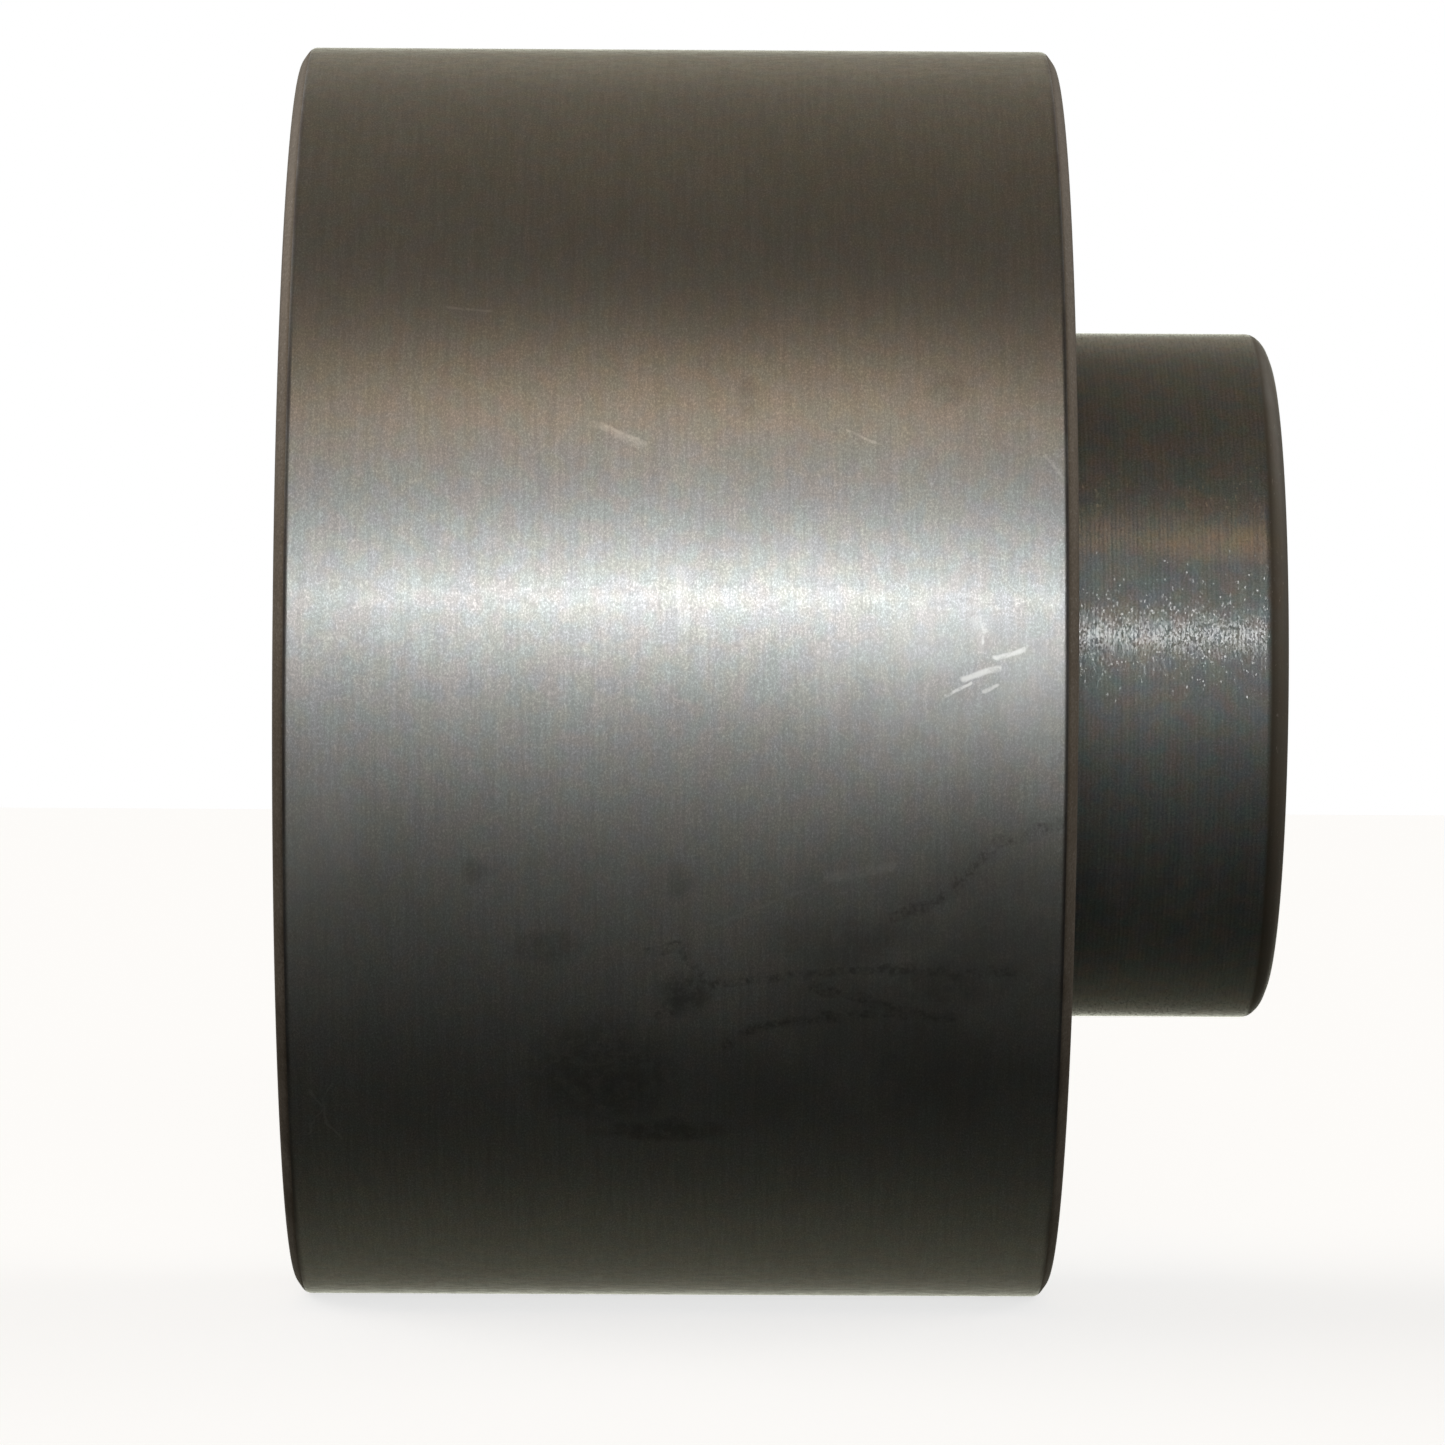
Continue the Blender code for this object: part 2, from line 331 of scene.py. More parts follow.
def tooling_place(nodes, place, along, radius):
    """A position in which noise makes circles: round the outside, and round the end faces."""
    face_stretch = 1.37
    split = nodes.add("ShaderNodeSeparateXYZ", {0: place})
    pass_line = nodes.math("MULTIPLY_ADD", radius, face_stretch, along)
    inputs = {"X": split.outputs["X"], "Y": pass_line, "Z": split.outputs["Z"]}
    return nodes.add("ShaderNodeCombineXYZ", inputs).outputs[0]


def line_mark(nodes, along, arc, start, end, width, strength=1.0):
    """A straight mark from start to end, both (along, arc) in mm, which fades to 0 at its sides."""
    start, end = Vector(start) * MM, Vector(end) * MM
    span = end - start
    from_start = nodes.math("SUBTRACT", along, start.x), nodes.math("SUBTRACT", arc, start.y)
    share_x = nodes.math("MULTIPLY", from_start[0], span.x / span.length_squared)
    share = nodes.math("MULTIPLY_ADD", from_start[1], span.y / span.length_squared, share_x)
    inside = nodes.add("ShaderNodeClamp", {"Value": share}).outputs[0]
    off_x = nodes.math("MULTIPLY_ADD", inside, -span.x, from_start[0])
    off_y = nodes.math("MULTIPLY_ADD", inside, -span.y, from_start[1])
    squared = nodes.math("MULTIPLY_ADD", off_x, off_x, nodes.math("MULTIPLY", off_y, off_y))
    return nodes.range(squared, (width * MM) ** 2, 0.0, 0.0, strength)


def blob_mark(nodes, along, arc, centre, size, strength=1.0):
    """A patch that fades from its strength in the middle to 0 at its rim. Lengths are in mm."""
    off_x = nodes.math("SUBTRACT", along, centre[0] * MM)
    off_y = nodes.math("SUBTRACT", arc, centre[1] * MM)
    off_x = nodes.math("DIVIDE", off_x, size[0] * MM)
    off_y = nodes.math("DIVIDE", off_y, size[1] * MM)
    squared = nodes.math("MULTIPLY_ADD", off_x, off_x, nodes.math("MULTIPLY", off_y, off_y))
    return nodes.range(squared, 1.0, 0.0, 0.0, strength)


def strongest(nodes, marks):
    """The largest of several marks at each point."""
    total = marks[0]
    for mark in marks[1:]:
        total = nodes.math("MAXIMUM", total, mark)
    return total


def radial_tangent(nodes):
    """Turn the shader's stretched highlight to follow the grinding round the axis."""
    tangent = nodes.add("ShaderNodeTangent", direction_type="RADIAL", axis="Y")
    nodes.set("Tangent", tangent.outputs[0])


def wavering(nodes, place, along, arc):
    """The distance along and the arc, wandering a little, so that marks aren't ruler-straight."""
    reach = 0.9 * MM
    wander = nodes.add("ShaderNodeTexNoise", {"Vector": place, "Scale": 900.0, "Detail": 2.0})
    split = nodes.add("ShaderNodeSeparateColor", {0: wander.outputs["Color"]})
    return [
        nodes.math("MULTIPLY_ADD", nodes.math("SUBTRACT", split.outputs[channel], 0.5), reach, way)
        for channel, way in ((0, along), (1, arc))
    ]


def tipped_grains(nodes, place, normal, tilt):
    """A normal that tips at random from one tiny grain of the surface to the next."""
    rarity = 2.4
    grains = nodes.add("ShaderNodeTexVoronoi", {"Vector": place, "Scale": 1.0})
    split = nodes.add("ShaderNodeSeparateColor", {0: grains.outputs["Color"]})
    amount = nodes.math("MULTIPLY", nodes.math("POWER", split.outputs[0], rarity), tilt)
    centred = nodes.vector("SUBTRACT", grains.outputs["Color"], (0.5, 0.5, 0.5))
    tipped = nodes.vector("ADD", normal, nodes.scaled(centred, amount))
    return nodes.vector("NORMALIZE", tipped)


# Bright scratches on the track: from one (along, arc) point to another, width in mm, strength
SCRATCHES = [
    ((-3.9, 11.9), (-1.7, 10.8), 0.26, 0.42),
    ((-3.4, 11.75), (-2.0, 11.1), 0.14, 0.55),
    ((12.8, -1.2), (14.0, -0.6), 0.12, 0.9),
    ((13.6, -0.4), (15.1, 0.1), 0.20, 0.9),
    ((15.1, 0.6), (16.5, 1.0), 0.16, 0.8),
    ((14.5, -1.0), (15.3, -0.7), 0.12, 0.8),
    ((14.5, 1.3), (14.5, 2.2), 0.12, 0.6),
    ((0.1, 4.6), (0.25, 1.9), 0.42, 0.16),
    ((14.3, 2.4), (14.4, 1.0), 0.34, 0.18),
    ((8.0, 11.6), (9.3, 11.0), 0.10, 0.5),
    ((7.4, -10.0), (10.3, -9.4), 0.34, 0.20),
    ((1.8, -12.5), (6.6, -10.4), 0.12, 0.14),
    ((17.4, 10.4), (18.2, 9.3), 0.12, 0.4),
    ((-10.9, 18.2), (-8.9, 18.0), 0.10, 0.4),
    ((-17.4, -22.0), (-16.2, -25.2), 0.10, 0.3),
    ((-16.4, -21.6), (-17.6, -25.0), 0.09, 0.3),
]
# Dark drying lines, as chains of (along, arc) points, and their width. All are in mm
DRYING_LINE_WIDTH = 0.36
DRYING_LINES = [
    [(10.4, -12.0), (12.7, -11.0), (13.4, -10.4), (14.2, -9.5), (15.5, -8.1), (16.4, -8.0), (18.2, -7.3)],
    [(1.2, -15.6), (4.5, -15.3), (6.7, -15.0), (11.2, -14.7), (13.5, -15.0), (16.1, -14.8)],
    [(6.7, -15.6), (9.6, -16.6), (11.8, -17.2)],
    [(2.3, -19.1), (3.9, -17.9), (6.6, -17.4), (10.7, -17.2), (13.2, -17.4)],
    [(-1.2, -13.9), (0.2, -13.6), (1.3, -15.0), (0.9, -16.6), (-0.6, -17.2)],
]
# Dark smears: centre (along, arc), half sizes in mm, and strength
SMEARS = [
    ((0.5, -16.2), (1.6, 1.5), 0.60),
    ((-3.4, -20.8), (4.6, 4.2), 0.42),
    ((-6.0, -13.6), (2.2, 1.2), 0.30),
    ((7.6, -13.2), (4.6, 1.6), 0.22),
    ((12.5, -15.6), (2.6, 1.6), 0.32),
    ((-0.6, -24.6), (4.2, 0.9), 0.50),
    ((-9.4, -9.8), (0.9, 0.9), 0.35),
    ((13.0, 13.8), (1.4, 1.2), 0.25),
    ((3.4, 13.4), (0.7, 1.6), 0.25),
    ((0.2, -10.2), (0.8, 1.0), 0.30),
]
# Broad patches of painted shade that darken the steel, and broad patches of painted light that brighten
# it
PAINTED_SHADE_PATCHES = [
    ((14.0, -15.5), (12.0, 11.0), 0.50),
    ((4.0, -21.5), (11.0, 4.5), 0.25),
]
PAINTED_LIGHT_PATCHES = [
    ((13.5, -1.0), (9.0, 5.0), 0.30),
    ((-17.0, -11.0), (3.0, 9.0), 0.20),
]
# The painted warm reflection of the room lamp on the hub: centre and half sizes in mm, its arc measured
# at the track's radius
WARM_REFLECTION_PATCH = ((26.6, 11.9), (4.6, 2.3))


def mottled(nodes, place, steel, share):
    """Steel with faint colour casts in blotches under a millimetre: warm and cool, green and pink."""
    warmth = nodes.noise(place, 1150.0, 1.0, 0.4)
    pinkness = nodes.noise(place, 930.0, 1.0, 0.4)
    cast = nodes.colour(nodes.range(warmth, 0.34, 0.66), (0.84, 1.0, 1.10), (1.14, 1.0, 0.84))
    second = nodes.colour(nodes.range(pinkness, 0.34, 0.66), (0.93, 1.07, 0.95), (1.07, 0.93, 1.05))
    steel = nodes.colour(share, steel, cast, "MULTIPLY")
    return nodes.colour(share, steel, second, "MULTIPLY")


def ground_colour(nodes, place, lines, grit, clouds):
    """Ground steel: broad tones, clouding, fine lines round it, and grit."""
    broad = nodes.noise(nodes.stretched(place, 60.0, 45.0), 1.0, 2.0)
    steel = nodes.colour(nodes.range(broad, 0.35, 0.65), (0.61, 0.62, 0.62), (0.65, 0.65, 0.635))
    steel = nodes.colour(nodes.range(clouds, 0.44, 0.68, 0.0, 0.22), steel, (0.46, 0.44, 0.41))
    steel = nodes.colour(nodes.range(lines, 0.3, 0.7, 0.0, 0.50), steel, (0.42, 0.42, 0.41))
    steel = nodes.colour(nodes.range(grit, 0.30, 0.66, 0.54, 0.0), steel, (0.32, 0.32, 0.32))
    steel = nodes.colour(nodes.range(grit, 0.52, 0.74, 0.0, 0.46), steel, (0.92, 0.92, 0.91))
    return mottled(nodes, place, steel, 0.20)


def with_painted_light_and_shade(nodes, along, arc, clouds, steel):
    """The steel brightened by painted light in some broad patches and darkened by painted shade in
    others, both broken by clouds.
    """
    painted_light = strongest(nodes, [blob_mark(nodes, along, arc, *painted_patch) for painted_patch in PAINTED_LIGHT_PATCHES])
    painted_light = nodes.math("MULTIPLY", painted_light, nodes.range(clouds, 0.66, 0.36, 0.4, 1.0))
    # Painted light: a pale colour mixed into the steel where it should look more brightly lit
    steel = nodes.colour(painted_light, steel, (0.88, 0.88, 0.88))
    painted_shade = strongest(nodes, [blob_mark(nodes, along, arc, *painted_patch) for painted_patch in PAINTED_SHADE_PATCHES])
    painted_shade = nodes.math("MULTIPLY", painted_shade, nodes.range(clouds, 0.30, 0.60, 0.5, 1.0))
    # Painted shade: a dark colour mixed into the steel where it should look less lit
    return nodes.colour(painted_shade, steel, (0.15, 0.15, 0.145))


def with_fine_marks(nodes, place, along, arc, steel):
    """The steel with dark drying lines, smears and flecks, and bright scratches over them."""
    drift_along, drift_arc = wavering(nodes, place, along, arc)
    torn = nodes.noise(place, 1500.0, 3.0, 0.7)
    scratch = strongest(nodes, [line_mark(nodes, drift_along, arc, *mark) for mark in SCRATCHES])
    scratch = nodes.math("MULTIPLY", scratch, nodes.range(torn, 0.34, 0.56, 0.25, 1.0))
    chains = [pair for chain in DRYING_LINES for pair in zip(chain, chain[1:])]
    width = DRYING_LINE_WIDTH
    drying = [line_mark(nodes, drift_along, drift_arc, *ends, width) for ends in chains]
    dots = nodes.range(nodes.noise(place, 4200.0, 1.0), 0.35, 0.60, 0.35, 1.0)
    worn = nodes.math("MULTIPLY", nodes.range(torn, 0.38, 0.62, 0.08, 0.56), dots)
    drying = nodes.math("MULTIPLY", strongest(nodes, drying), worn)
    smears = strongest(nodes, [blob_mark(nodes, drift_along, drift_arc, *smear) for smear in SMEARS])
    smears = nodes.math("MULTIPLY", smears, nodes.range(torn, 0.34, 0.60, 0.35, 1.0))
    flecks = nodes.range(nodes.noise(place, 640.0, 4.0, 0.75), 0.70, 0.78, 0.0, 0.45)
    steel = nodes.colour(strongest(nodes, [drying, smears, flecks]), steel, (0.14, 0.135, 0.13))
    return nodes.colour(scratch, steel, (0.99, 0.99, 0.98))


def with_painted_edge_shade(nodes, along, clouds, steel):
    """The steel with a thin line of painted brown shade where it meets each broken edge, where the
    rounding turns away from the light.
    """
    land_end = TRACK_HALF - TRACK_EDGE_LENGTH
    rim = nodes.range(nodes.math("ABSOLUTE", along), land_end - 0.30 * MM, land_end - 0.04 * MM)
    rim = nodes.math("MULTIPLY", rim, nodes.range(clouds, 0.36, 0.60, 0.30, 0.80))
    # Painted shade: a dark brown colour mixed in along the edge of the ground land
    return nodes.colour(rim, steel, (0.22, 0.18, 0.165))


def ground_track_material():
    """Hardened steel, ground round the outside: fine streaks, clouding, scratches and smears."""
    nodes = Material("ground_track")
    place, along, arc, _ = place_on_ring(nodes)
    lines = nodes.noise(nodes.stretched(place, 260.0, 5200.0), 1.0, 3.0, 0.7)
    grit = nodes.noise(nodes.stretched(place, 9000.0, 12500.0), 1.0, 2.0, 0.8)
    clouds = nodes.noise(place, 170.0, 5.0, 0.62)
    glaze = nodes.noise(nodes.stretched(place, 2600.0, 1100.0), 1.0, 3.0, 0.7)
    steel = ground_colour(nodes, place, lines, grit, clouds)
    steel = with_painted_light_and_shade(nodes, along, arc, clouds, steel)
    steel = with_fine_marks(nodes, place, along, arc, steel)
    nodes.set("Base Color", with_painted_edge_shade(nodes, along, clouds, steel))
    nodes.set("Roughness", nodes.range(grit, 0.3, 0.7, 0.40, 0.35))
    nodes.set("Metallic", 1.0)
    nodes.set("Anisotropic", 0.35)
    radial_tangent(nodes)
    grain = nodes.bump(lines, 0.30, 0.003 * MM)
    nodes.set("Normal", nodes.bump(grit, 0.30, 0.002 * MM, grain))
    nodes.set("Coat Weight", nodes.range(glaze, 0.40, 0.62, 0.18, 0.52))
    nodes.set("Coat Roughness", 0.07)
    return nodes.material


def heat_treated_material():
    """The turned faces and chamfers that grinding left alone: brown-grey scale, worn in spots."""
    nodes = Material("heat_treated_faces")
    place, along, _, radius = place_on_ring(nodes)
    tooling = tooling_place(nodes, place, along, radius)
    passes = nodes.noise(nodes.stretched(tooling, 60.0, 5200.0), 1.0, 3.0, 0.6)
    patches = nodes.noise(place, 260.0, 5.0, 0.65)
    speckle = nodes.noise(place, 7800.0, 2.0, 0.75)
    scale = nodes.colour(nodes.range(patches, 0.36, 0.64), (0.36, 0.30, 0.24), (0.46, 0.40, 0.335))
    scale = nodes.colour(nodes.range(passes, 0.3, 0.7, 0.0, 0.30), scale, (0.25, 0.215, 0.18))
    scale = nodes.colour(nodes.range(speckle, 0.35, 0.60, 0.40, 0.0), scale, (0.17, 0.15, 0.125))
    scale = nodes.colour(nodes.range(speckle, 0.60, 0.74, 0.0, 0.5), scale, (0.66, 0.63, 0.59))
    nodes.set("Base Color", scale)
    nodes.set("Roughness", nodes.range(patches, 0.3, 0.7, 0.50, 0.62))
    nodes.set("Metallic", 1.0)
    height = nodes.math("MULTIPLY_ADD", passes, 0.5, speckle)
    nodes.set("Normal", nodes.bump(height, 0.5, 0.006 * MM))
    return nodes.material


def blackened_colour(nodes, place, along, arc, tint):
    """A thin black finish: grey-green with brown tints, and a painted warm reflection of the room lamp by
    the hub's end.
    """
    blush = nodes.noise(place, 230.0, 4.0, 0.6)
    black = nodes.colour(nodes.range(tint, 0.35, 0.65), (0.385, 0.435, 0.43), (0.45, 0.43, 0.415))
    brown = nodes.math("MULTIPLY", nodes.range(blush, 0.44, 0.66), nodes.range(tint, 0.25, 0.6))
    brown = nodes.math("MULTIPLY", brown, 0.25)
    painted_patch = blob_mark(nodes, along, arc, *WARM_REFLECTION_PATCH)
    painted_patch = nodes.math("MULTIPLY", painted_patch, nodes.range(tint, 0.25, 0.60, 0.25, 0.80))
    # The warm colour serves both the random brown tints and the painted reflection
    return nodes.colour(nodes.math("MAXIMUM", brown, painted_patch), black, (0.72, 0.58, 0.42))


def with_turning_marks(nodes, place, along, radius, black):
    """The finish with uneven passes of the tool, a crest at each turn of its feed, and grit."""
    tooling = tooling_place(nodes, place, along, radius)
    passes = nodes.noise(nodes.stretched(tooling, 260.0, 4700.0), 1.0, 2.0, 0.6)
    grit = nodes.noise(place, 11000.0, 2.0, 0.8)
    black = nodes.colour(nodes.range(passes, 0.35, 0.65, 0.0, 0.26), black, (0.22, 0.25, 0.25))
    feed_turns = nodes.math("MULTIPLY", along, 2 * math.pi / HUB_FEED)
    crests = nodes.range(nodes.math("SINE", feed_turns), -1.0, 1.0, 0.0, 0.22)
    black = nodes.colour(crests, black, (0.18, 0.19, 0.19))
    black = nodes.colour(nodes.range(grit, 0.30, 0.60, 0.46, 0.0), black, (0.16, 0.16, 0.16))
    black = nodes.colour(nodes.range(grit, 0.58, 0.76, 0.0, 0.46), black, (0.82, 0.84, 0.84))
    return mottled(nodes, place, black, 0.42)


def blackened_hub_material():
    """Fine-turned steel under a thin black finish and oil, with glints and a worn brown edge."""
    nodes = Material("blackened_turned_steel")
    place, along, arc, radius = place_on_ring(nodes)
    tears = nodes.noise(nodes.stretched(place, 3200.0, 7200.0), 1.0, 2.0, 0.65)
    tint = nodes.noise(place, 800.0, 3.0, 0.6)
    black = blackened_colour(nodes, place, along, arc, tint)
    black = with_turning_marks(nodes, place, along, radius, black)
    edge_start = HUB_END - HUB_EDGE_LENGTH
    edge = nodes.range(along, edge_start - 0.25 * MM, edge_start, 0.0, 0.85)
    worn = nodes.range(tears, 0.66, 0.74, 0.0, 0.7)
    rust = nodes.colour(worn, (0.235, 0.195, 0.145), (0.52, 0.47, 0.40))
    nodes.set("Base Color", nodes.colour(edge, black, rust))
    nodes.set("Roughness", nodes.range(tint, 0.3, 0.7, 0.56, 0.62))
    nodes.set("Metallic", 1.0)
    surface = nodes.bump(tears, 0.4, 0.003 * MM)
    nodes.set("Normal", surface)
    nodes.set("Coat Weight", nodes.range(edge, 0.0, 0.85, 0.95, 0.20))
    nodes.set("Coat IOR", 1.65)
    nodes.set("Coat Roughness", 0.15)
    grains = nodes.stretched(place, 10500.0, 15000.0)
    nodes.set("Coat Normal", tipped_grains(nodes, grains, surface, 0.46))
    return nodes.material


def plate_material():
    """A faced and blackened washer, with rings from the facing tool and rubbed high spots."""
    nodes = Material("blackened_plate")
    place, along, _, radius = place_on_ring(nodes)
    tooling = tooling_place(nodes, place, along, radius)
    passes = nodes.noise(nodes.stretched(tooling, 40.0, 4000.0), 1.0, 3.0, 0.6)
    patches = nodes.noise(place, 260.0, 4.0, 0.6)
    black = nodes.colour(nodes.range(patches, 0.36, 0.64), (0.12, 0.12, 0.122), (0.19, 0.18, 0.17))
    black = nodes.colour(nodes.range(passes, 0.55, 0.72, 0.0, 0.5), black, (0.33, 0.32, 0.31))
    nodes.set("Base Color", black)
    nodes.set("Roughness", nodes.range(patches, 0.3, 0.7, 0.34, 0.46))
    nodes.set("Metallic", 1.0)
    nodes.set("Normal", nodes.bump(passes, 0.5, 0.008 * MM))
    return nodes.material


def bore_material():
    """A bored and honed inside, oiled and only lightly blackened."""
    nodes = Material("honed_bore")
    place, _, _, _ = place_on_ring(nodes)
    honing = nodes.noise(nodes.stretched(place, 70.0, 5200.0), 1.0, 4.0, 0.6)
    oil = nodes.noise(place, 170.0, 3.0)
    steel = nodes.colour(nodes.range(honing, 0.3, 0.7), (0.40, 0.39, 0.375), (0.52, 0.51, 0.495))
    steel = nodes.colour(nodes.range(oil, 0.45, 0.65, 0.0, 0.35), steel, (0.27, 0.235, 0.19))
    nodes.set("Base Color", steel)
    nodes.set("Roughness", nodes.range(honing, 0.25, 0.75, 0.24, 0.34))
    nodes.set("Metallic", 1.0)
    nodes.set("Normal", nodes.bump(honing, 0.3, 0.004 * MM))
    return nodes.material


def rubber_material():
    """Moulded nitrile, with a fine sand-blasted grain and a little dust."""
    nodes = Material("moulded_nitrile")
    place, _, _, _ = place_on_ring(nodes)
    grain = nodes.noise(place, 6500.0, 3.0, 0.6)
    dust = nodes.noise(place, 330.0, 5.0, 0.65)
    rubber = nodes.colour(nodes.range(dust, 0.45, 0.75), (0.018, 0.018, 0.019), (0.055, 0.052, 0.048))
    nodes.set("Base Color", rubber)
    nodes.set("Roughness", nodes.range(dust, 0.3, 0.7, 0.50, 0.68))
    nodes.set("Normal", nodes.bump(grain, 0.4, 0.02 * MM))
    return nodes.material


def bearing_roller_material():
    """A ground and honed bearing roller, bright, with hair-fine rings."""
    nodes = Material("honed_roller")
    place, _, _, _ = place_on_ring(nodes)
    rings = nodes.noise(nodes.stretched(place, 200.0, 9000.0), 1.0, 3.0)
    steel = nodes.colour(nodes.range(rings, 0.3, 0.7), (0.62, 0.62, 0.61), (0.72, 0.72, 0.71))
    nodes.set("Base Color", steel)
    nodes.set("Roughness", nodes.range(rings, 0.25, 0.75, 0.10, 0.18))
    nodes.set("Metallic", 1.0)
    nodes.set("Normal", nodes.bump(rings, 0.2, 0.002 * MM))
    return nodes.material


def cage_material():
    """A machined steel cage with a film of oil."""
    nodes = Material("machined_cage")
    place, along, _, radius = place_on_ring(nodes)
    tooling = tooling_place(nodes, place, along, radius)
    passes = nodes.noise(nodes.stretched(tooling, 50.0, 4200.0), 1.0, 3.0)
    oil = nodes.noise(place, 240.0, 4.0)
    steel = nodes.colour(nodes.range(passes, 0.3, 0.7), (0.36, 0.34, 0.31), (0.48, 0.46, 0.43))
    steel = nodes.colour(nodes.range(oil, 0.5, 0.7, 0.0, 0.4), steel, (0.24, 0.19, 0.13))
    nodes.set("Base Color", steel)
    nodes.set("Roughness", nodes.range(oil, 0.3, 0.7, 0.38, 0.26))
    nodes.set("Metallic", 1.0)
    nodes.set("Normal", nodes.bump(passes, 0.4, 0.006 * MM))
    return nodes.material


# ---------------------------------------------------------------- pieces


def make_outer_ring(track, scale):
    """The roller: ground track and raceway, with turned faces and chamfers beside them."""
    chance = random.Random(SEED)
    ground = Finish(0)
    bored = Finish(1)
    faced = Finish(1, 0.14 * MM, 0.003 * MM)
    soft = 0.25 * MM
    crisp = 0.05 * MM
    half = [
        (OUTER_RACE_HALF, OUTER_RACE_RADIUS, crisp, bored),
        (OUTER_RACE_HALF, POCKET_RADIUS, 0, bored),
        (POCKET_FLOOR, POCKET_RADIUS, crisp, bored),
        (POCKET_FLOOR, SEAL_SEAT_RADIUS, 0, bored),
        (TRACK_HALF - LEAD_IN, SEAL_SEAT_RADIUS, crisp, bored),
        (TRACK_HALF, SEAL_SEAT_RADIUS + LEAD_IN, crisp, faced),
        (TRACK_HALF, TRACK_RADIUS - TRACK_EDGE_DEPTH, soft, faced),
        (TRACK_HALF - TRACK_EDGE_LENGTH, TRACK_RADIUS, soft, ground),
    ]
    corners = half + mirrored_corners(half, ground)
    ring = turn_outline("outer_ring_ground", profile(corners, chance), [track, scale])
    finish_piece(ring, "outer_assembly", "ground_steel", "outer_ring")


def mirrored_corners(corners, last):
    """The same corners on the other side, in turning order. The last stretch closes the ring."""
    finishes = [finish for _, _, _, finish in reversed(corners)][1:] + [last]
    return [
        (-y, radius, fillet, finish)
        for (y, radius, fillet, _), finish in zip(reversed(corners), finishes)
    ]


def place_round(angle, along, radius):
    """A transform that turns to an angle round the axis, at a distance along it and a radius."""
    return Matrix.Rotation(angle, 4, "Y") @ Matrix.Translation((0, along, radius))


def cutter_object(name, bm):
    """A helper object with a bmesh's shape, for cut_and_apply to take out of a piece."""
    mesh = bpy.data.meshes.new(name)
    bm.to_mesh(mesh)
    bm.free()
    cutter = bpy.data.objects.new(name, mesh)
    bpy.context.scene.collection.objects.link(cutter)
    return cutter


def drill_cutter():
    """Two radial oil holes, from the groove in the bore to the raceway."""
    wall_middle = (BORE_RADIUS + INNER_RACE_RADIUS) / 2
    bm = bmesh.new()
    for turn in (0, math.pi):
        bmesh.ops.create_cone(
            bm,
            cap_ends=True,
            segments=48,
            radius1=OIL_HOLE_RADIUS,
            radius2=OIL_HOLE_RADIUS,
            depth=12 * MM,
            matrix=place_round(turn, 0, wall_middle),
        )
    return cutter_object("oil_holes", bm)


def pocket_cutter(side):
    """The windows of one cage, a little larger than the rollers in them."""
    gap = 0.1 * MM
    depth = 6 * MM
    pocket = (2 * (ROLLER_RADIUS + gap), ROLLER_LENGTH + 2 * gap, depth)
    bm = bmesh.new()
    for index in range(ROLLERS_PER_ROW):
        place = place_round(2 * math.pi * index / ROLLERS_PER_ROW, side * ROW_CENTRE, PITCH_RADIUS)
        bmesh.ops.create_cube(bm, size=1, matrix=place @ Matrix.Diagonal((*pocket, 1)))
    return cutter_object("pockets", bm)


def cut_and_apply(piece, cutter):
    """Take the cutter's shape out of the piece for good, and remove the cutter."""
    modifier = piece.modifiers.new("cut", "BOOLEAN")
    modifier.operation = "DIFFERENCE"
    modifier.solver = "EXACT"
    modifier.object = cutter
    graph = bpy.context.evaluated_depsgraph_get()
    cut_mesh = bpy.data.meshes.new_from_object(piece.evaluated_get(graph))
    piece.modifiers.clear()
    piece.data = cut_mesh
    bpy.data.objects.remove(cutter)


def make_inner_ring(black, bore, race):
    """The still ring: raceway, plate seats, grooved bore with oil holes, and the turned hub."""
    chance = random.Random(SEED + 1)
    plain = Finish(0)
    faced = Finish(0, 0.40 * MM, 0.003 * MM)
    turned = Finish(0, HUB_FEED, 0.006 * MM)
    honed = Finish(1)
    ground = Finish(2)
    chamfer = 0.8 * MM
    small = 0.35 * MM
    crisp = 0.06 * MM
    soft = 0.34 * MM
    knee_length = 0.4 * HUB_EDGE_LENGTH
    knee_depth = 0.35 * HUB_EDGE_DEPTH
    corners = [
        (-PLAIN_END, BORE_RADIUS + chamfer, crisp, faced),
        (-PLAIN_END, HUB_RADIUS - small, crisp, plain),
        (-PLAIN_END + small, HUB_RADIUS, crisp, plain),
        (-INNER_RACE_HALF, HUB_RADIUS, 0, plain),
        (-INNER_RACE_HALF, INNER_RACE_RADIUS, crisp, ground),
        (INNER_RACE_HALF, INNER_RACE_RADIUS, crisp, plain),
        (INNER_RACE_HALF, HUB_RADIUS, 0, plain),
        (SEAL_INNER, HUB_RADIUS, 0, turned),
        (HUB_END - HUB_EDGE_LENGTH, HUB_RADIUS, soft, plain),
        (HUB_END - knee_length, HUB_RADIUS - knee_depth, soft, plain),
        (HUB_END, HUB_RADIUS - HUB_EDGE_DEPTH, soft, faced),
        (HUB_END, BORE_RADIUS + chamfer, crisp, plain),
        (HUB_END - chamfer, BORE_RADIUS, crisp, honed),
        (BORE_GROOVE_HALF, BORE_RADIUS, crisp, plain),
        (BORE_GROOVE_HALF, GROOVE_RADIUS, 0, plain),
        (-BORE_GROOVE_HALF, GROOVE_RADIUS, 0, plain),
        (-BORE_GROOVE_HALF, BORE_RADIUS, crisp, honed),
        (-PLAIN_END + chamfer, BORE_RADIUS, crisp, plain),
    ]
    ring = turn_outline("inner_ring_turned", profile(corners, chance), [black, bore, race])
    cut_and_apply(ring, drill_cutter())
    finish_piece(ring, "inner_assembly", "blackened_steel", "inner_ring")


